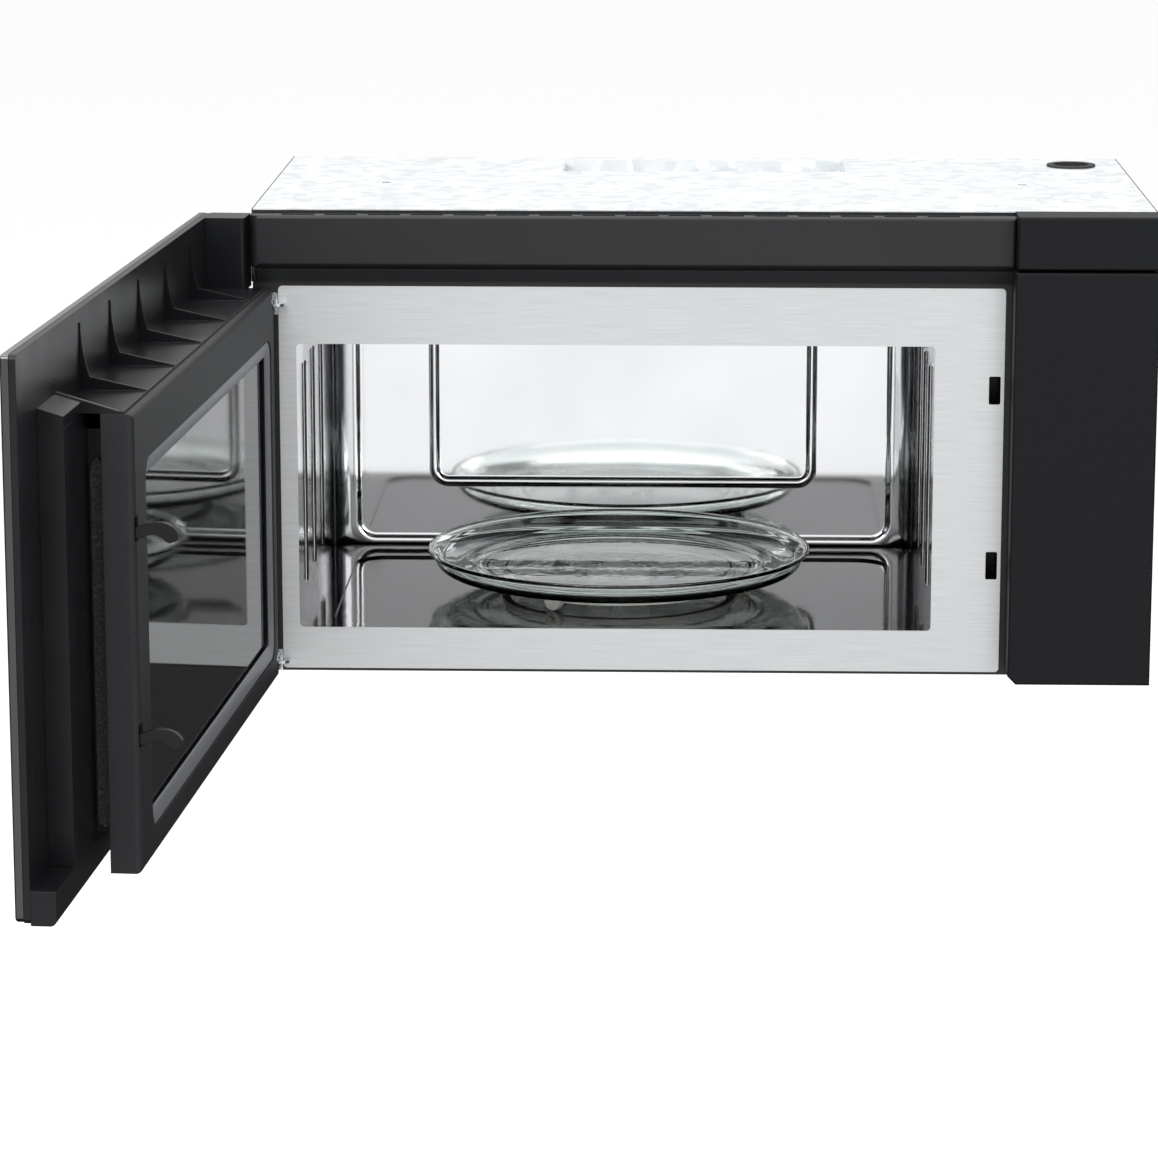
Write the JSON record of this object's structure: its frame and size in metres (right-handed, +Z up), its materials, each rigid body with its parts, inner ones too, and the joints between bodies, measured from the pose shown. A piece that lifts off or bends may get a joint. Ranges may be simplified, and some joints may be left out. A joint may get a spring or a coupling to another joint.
{
  "type": "over-the-range microwave oven",
  "caption": "Wall-hung microwave oven with a full-width side-hinged door, latch hooks, turntable, exhaust blower and separate case, cavity and door pieces.",
  "frame": {"origin": "centre of the wall plate's back face", "axes": "+Y into the wall, +X to the right as the user faces the oven, +Z up"},
  "size_m": [0.8529, 1.1263, 0.407],
  "materials": {
    "galvanised_steel": "zinc-coated sheet with a faint spangle",
    "painted_case": "dark grey powder coat",
    "brushed_stainless": "fine horizontal grain",
    "polished_stainless": "mirror-polished",
    "floor_enamel": "glossy charcoal enamel",
    "vent_plastic": "satin dark grey moulding",
    "door_plastic": "smooth dark grey moulding",
    "black_glass": "black-backed pane",
    "window_glass": "dark mirror-like inner pane",
    "tray_glass": "clear pressed glass",
    "white_plastic": "natural moulding",
    "zinc_plate": "bright plated steel",
    "filter_mesh": "layered mesh",
    "lens": "frosted lens",
    "rubber": "black rubber",
    "mica": "pressed mica sheet",
    "circuit_board": "board with its components",
    "motor_steel": "laminated and pressed steel",
    "magnetron_steel": "plated yoke with aluminium fins",
    "charcoal": "charcoal pad",
    "foam": "speckled foam"
  },
  "bodies": {
    "case": {"wall_mounting_plate": "galvanised_steel", "rear_panel": "galvanised_steel", "case_top_panel": "galvanised_steel", "case_left_panel": "painted_case", "case_right_panel": "painted_case", "base_panel": "painted_case", "base_screws": "zinc_plate", "cord_grommet": "rubber", "grease_filters": "filter_mesh", "cooktop_lamp_lenses": "lens", "front_chassis": "painted_case", "front_plate": "brushed_stainless", "vent_bar": "vent_plastic", "bezel_strip": "vent_plastic", "vent_end_cap": "vent_plastic", "right_cover_panel": "vent_plastic", "cavity_left_wall": "polished_stainless", "cavity_right_wall": "polished_stainless", "cavity_ceiling": "polished_stainless", "cavity_floor": "floor_enamel", "cavity_back_wall": "polished_stainless", "waveguide_cover": "mica", "waveguide": "galvanised_steel", "magnetron": "magnetron_steel", "inverter_board": "circuit_board", "control_board": "circuit_board", "cooling_fan_shroud": "galvanised_steel", "cooling_fan_motor": "motor_steel", "latch_switch_board": "door_plastic", "microswitches": "white_plastic", "oven_lamp": "vent_plastic", "exhaust_scrolls": "galvanised_steel", "exhaust_motor": "motor_steel", "exhaust_adaptor": "galvanised_steel", "charcoal_filter": "charcoal", "turntable_motor": "motor_steel", "body_hinges": "zinc_plate"},
    "door": {"door_glass": "black_glass", "door_bezel": "door_plastic", "door_inner_frame": "door_plastic", "door_lower_rail": "door_plastic", "door_upper_frame": "door_plastic", "door_hinge_cap": "door_plastic", "choke_cover": "door_plastic", "window_film": "window_glass", "door_steel_panel": "galvanised_steel", "touch_board": "circuit_board", "door_foam_strip": "foam", "door_hinge_arms": "zinc_plate", "latch_spring": "zinc_plate"},
    "latch": {"latch_hooks": "door_plastic"},
    "turntable": {"turntable_coupler": "white_plastic", "turntable_glass": "tray_glass"},
    "roller_ring": {"roller_ring": "white_plastic"},
    "ring_roller_1": {"ring_roller_1": "white_plastic"},
    "ring_roller_2": {"ring_roller_2": "white_plastic"},
    "ring_roller_3": {"ring_roller_3": "white_plastic"},
    "cooling_fan": {"cooling_fan_blades": "white_plastic"},
    "exhaust_wheels": {"exhaust_wheels": "magnetron_steel"},
    "exhaust_flap": {"exhaust_flap": "zinc_plate"}
  },
  "joints": [
    {"name": "door_hinge", "type": "hinge", "parent": "case", "child": "door", "pos_m": [-0.364, -0.3899, 0], "axis": [0, 0, 1], "range_deg": [0, 93.64]},
    {"name": "latch_lift", "type": "slide", "parent": "door", "child": "latch", "axis": [0, 0, 1], "range_m": [0, 0.004], "stiffness_N_per_m": 300, "springref_m": -0.006, "deforming": ["latch_spring"]},
    {"name": "turntable_spin", "type": "hinge", "parent": "case", "child": "turntable", "pos_m": [-0.0738, -0.209, -0.1628], "axis": [0, 0, 1], "continuous": true},
    {"name": "roller_ring_spin", "type": "hinge", "parent": "case", "child": "roller_ring", "pos_m": [-0.0738, -0.209, -0.1628], "axis": [0, 0, 1], "continuous": true},
    {"name": "ring_roller_1_spin", "type": "hinge", "parent": "roller_ring", "child": "ring_roller_1", "pos_m": [-0.0738, -0.209, -0.1546], "axis": [1, 0, 0], "continuous": true},
    {"name": "ring_roller_2_spin", "type": "hinge", "parent": "roller_ring", "child": "ring_roller_2", "pos_m": [-0.0738, -0.209, -0.1546], "axis": [-0.5, 0.866, 0], "continuous": true},
    {"name": "ring_roller_3_spin", "type": "hinge", "parent": "roller_ring", "child": "ring_roller_3", "pos_m": [-0.0738, -0.209, -0.1546], "axis": [-0.5, -0.866, 0], "continuous": true},
    {"name": "cooling_fan_spin", "type": "hinge", "parent": "case", "child": "cooling_fan", "pos_m": [0.2895, -0.05, 0.02], "axis": [0, 1, 0], "continuous": true},
    {"name": "exhaust_wheels_spin", "type": "hinge", "parent": "case", "child": "exhaust_wheels", "pos_m": [0, -0.09, 0.129], "axis": [1, 0, 0], "continuous": true},
    {"name": "exhaust_flap_hinge", "type": "hinge", "parent": "case", "child": "exhaust_flap", "pos_m": [0, -0.032, 0.177], "axis": [-1, 0, 0], "range_deg": [0, 80]}
  ],
  "couplings": [
    {"joint": "roller_ring_spin", "follows": "turntable_spin", "ratio": 0.5},
    {"joint": "ring_roller_1_spin", "follows": "turntable_spin", "ratio": -6.8125},
    {"joint": "ring_roller_2_spin", "follows": "turntable_spin", "ratio": -6.8125},
    {"joint": "ring_roller_3_spin", "follows": "turntable_spin", "ratio": -6.8125}
  ]
}
